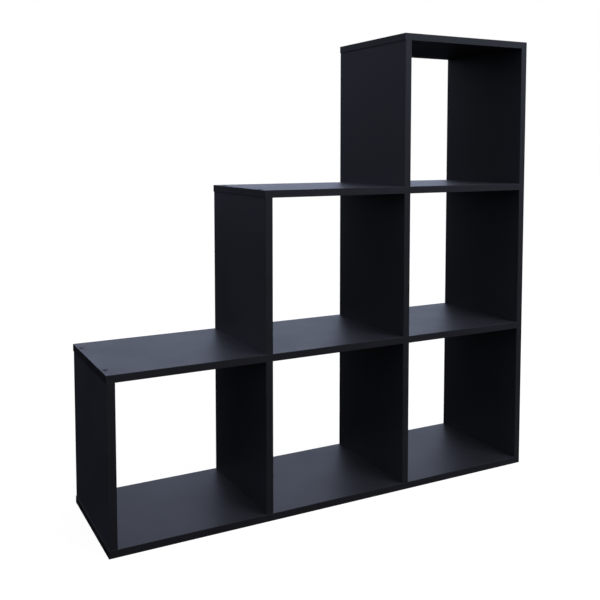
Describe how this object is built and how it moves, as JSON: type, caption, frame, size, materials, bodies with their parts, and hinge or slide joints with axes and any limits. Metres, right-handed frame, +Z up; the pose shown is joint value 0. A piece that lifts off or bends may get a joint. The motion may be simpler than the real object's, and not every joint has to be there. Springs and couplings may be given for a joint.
{
  "type": "staircase bookshelf",
  "caption": "Free-standing staircase bookshelf in black faced board, with open cells that climb in steps from one end to the other, open front and back.",
  "frame": {"origin": "middle of the base, on the floor", "axes": "+X along the shelf towards its tall end, +Y from front to back, +Z up"},
  "size_m": [1.0555, 0.29, 1.0626],
  "materials": {
    "faced_board": "satin",
    "edging": "satin",
    "cap_plastic": "matte",
    "zinc_plated_steel": "satin",
    "die_cast_zinc": "satin",
    "beech": "matte"
  },
  "bodies": {
    "root": {"bottom_board": "faced_board", "bottom_board_edging": "edging", "bottom_board_screws": "zinc_plated_steel", "dowels_on_bottom_board": "beech", "dowels_on_lower_shelf": "beech", "dowels_on_upper_shelf": "beech", "dowels_under_lower_shelf": "beech", "dowels_under_top_board": "beech", "dowels_under_upper_shelf": "beech", "lower_shelf": "faced_board", "lower_shelf_bolts": "zinc_plated_steel", "lower_shelf_edging": "edging", "lower_shelf_screw_caps": "cap_plastic", "lower_shelf_screws": "zinc_plated_steel", "lower_upright_1": "faced_board", "lower_upright_1_edging": "edging", "lower_upright_2": "faced_board", "lower_upright_2_edging": "edging", "lower_upright_3": "faced_board", "lower_upright_3_edging": "edging", "lower_upright_4": "faced_board", "lower_upright_4_edging": "edging", "middle_upright_2": "faced_board", "middle_upright_2_cam_caps": "cap_plastic", "middle_upright_2_cams": "die_cast_zinc", "middle_upright_2_edging": "edging", "middle_upright_3": "faced_board", "middle_upright_3_cam_caps": "cap_plastic", "middle_upright_3_cams": "die_cast_zinc", "middle_upright_3_edging": "edging", "middle_upright_4": "faced_board", "middle_upright_4_cam_caps": "cap_plastic", "middle_upright_4_cams": "die_cast_zinc", "middle_upright_4_edging": "edging", "top_board": "faced_board", "top_board_edging": "edging", "top_board_screw_caps": "cap_plastic", "top_board_screws": "zinc_plated_steel", "top_upright_3": "faced_board", "top_upright_3_cam_caps": "cap_plastic", "top_upright_3_cams": "die_cast_zinc", "top_upright_3_edging": "edging", "top_upright_4": "faced_board", "top_upright_4_cam_caps": "cap_plastic", "top_upright_4_cams": "die_cast_zinc", "top_upright_4_edging": "edging", "upper_shelf": "faced_board", "upper_shelf_bolts": "zinc_plated_steel", "upper_shelf_edging": "edging", "upper_shelf_screw_caps": "cap_plastic", "upper_shelf_screws": "zinc_plated_steel"}
  },
  "joints": []
}
